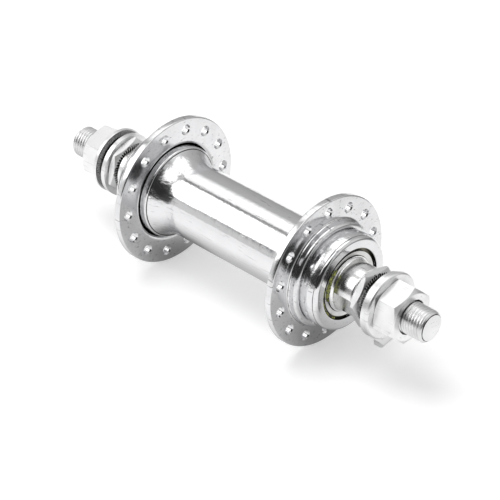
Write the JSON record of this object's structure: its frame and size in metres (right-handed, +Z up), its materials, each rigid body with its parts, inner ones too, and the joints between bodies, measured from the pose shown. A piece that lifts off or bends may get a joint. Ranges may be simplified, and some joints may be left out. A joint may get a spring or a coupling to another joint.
{
  "type": "bicycle front hub",
  "caption": "Bicycle front hub with cup and cone bearings, drilled spoke flanges and a threaded axle with nuts and tab washers.",
  "frame": {"origin": "middle of the hub, on the axle's centre line", "axes": "Y along the axle, +Y towards the left side's nut; +Z up; +X forward"},
  "size_m": [0.0462, 0.14, 0.0462],
  "materials": {
    "chrome_shell": "bright plated",
    "thread_steel": "rolled thread",
    "polished_steel": "ground",
    "ball_steel": "polished",
    "retainer_steel": "stamped",
    "zinc_plate": "satin plated"
  },
  "bodies": {
    "axle_set": {"axle": "thread_steel", "right_cone": "polished_steel", "left_cone": "polished_steel", "right_dust_shield": "zinc_plate", "left_dust_shield": "zinc_plate", "right_locknut": "zinc_plate", "left_locknut": "zinc_plate"},
    "hub_shell": {"barrel": "chrome_shell", "right_flange": "chrome_shell", "left_flange": "chrome_shell", "right_bearing_cup": "polished_steel", "left_bearing_cup": "polished_steel", "right_dust_cap": "chrome_shell", "left_dust_cap": "chrome_shell"},
    "right_balls": {"right_bearing_balls": "ball_steel", "right_ball_retainer": "retainer_steel"},
    "left_balls": {"left_bearing_balls": "ball_steel", "left_ball_retainer": "retainer_steel"},
    "right_tab_washer": {"right_tab_washer": "zinc_plate"},
    "left_tab_washer": {"left_tab_washer": "zinc_plate"},
    "right_nut_washer": {"right_nut_washer": "zinc_plate"},
    "left_nut_washer": {"left_nut_washer": "zinc_plate"},
    "right_axle_nut": {"right_axle_nut": "zinc_plate"},
    "left_axle_nut": {"left_axle_nut": "zinc_plate"}
  },
  "joints": [
    {"name": "shell_spin", "type": "hinge", "parent": "axle_set", "child": "hub_shell", "pos_m": [0, 0, 0], "axis": [0, 1, 0], "continuous": true},
    {"name": "right_balls_roll", "type": "hinge", "parent": "axle_set", "child": "right_balls", "pos_m": [0, -0.036, 0], "axis": [0, 1, 0], "continuous": true},
    {"name": "left_balls_roll", "type": "hinge", "parent": "axle_set", "child": "left_balls", "pos_m": [0, 0.036, 0], "axis": [0, 1, 0], "continuous": true},
    {"name": "right_tab_washer_slide", "type": "slide", "parent": "axle_set", "child": "right_tab_washer", "axis": [0, -1, 0], "range_m": [-0.00245, 0]},
    {"name": "left_tab_washer_slide", "type": "slide", "parent": "axle_set", "child": "left_tab_washer", "axis": [0, 1, 0], "range_m": [0, 0.0017]},
    {"name": "right_nut_travel", "type": "slide", "parent": "axle_set", "child": "right_nut_washer", "axis": [0, -1, 0], "range_m": [0, 0.01271]},
    {"name": "left_nut_travel", "type": "slide", "parent": "axle_set", "child": "left_nut_washer", "axis": [0, 1, 0], "range_m": [-0.00147, 0.01271]},
    {"name": "right_nut_turn", "type": "hinge", "parent": "right_nut_washer", "child": "right_axle_nut", "pos_m": [0, -0.0555, 0], "axis": [0, -1, 0], "range_deg": [0, 4680]},
    {"name": "left_nut_turn", "type": "hinge", "parent": "left_nut_washer", "child": "left_axle_nut", "pos_m": [0, 0.05475, 0], "axis": [0, 1, 0], "range_deg": [-540, 4680]}
  ],
  "couplings": [
    {"joint": "right_balls_roll", "follows": "shell_spin", "ratio": 0.5915},
    {"joint": "left_balls_roll", "follows": "shell_spin", "ratio": 0.5915},
    {"joint": "right_nut_travel", "follows": "right_nut_turn", "m_per_rad": 0.00015549},
    {"joint": "left_nut_travel", "follows": "left_nut_turn", "m_per_rad": 0.00015549}
  ]
}
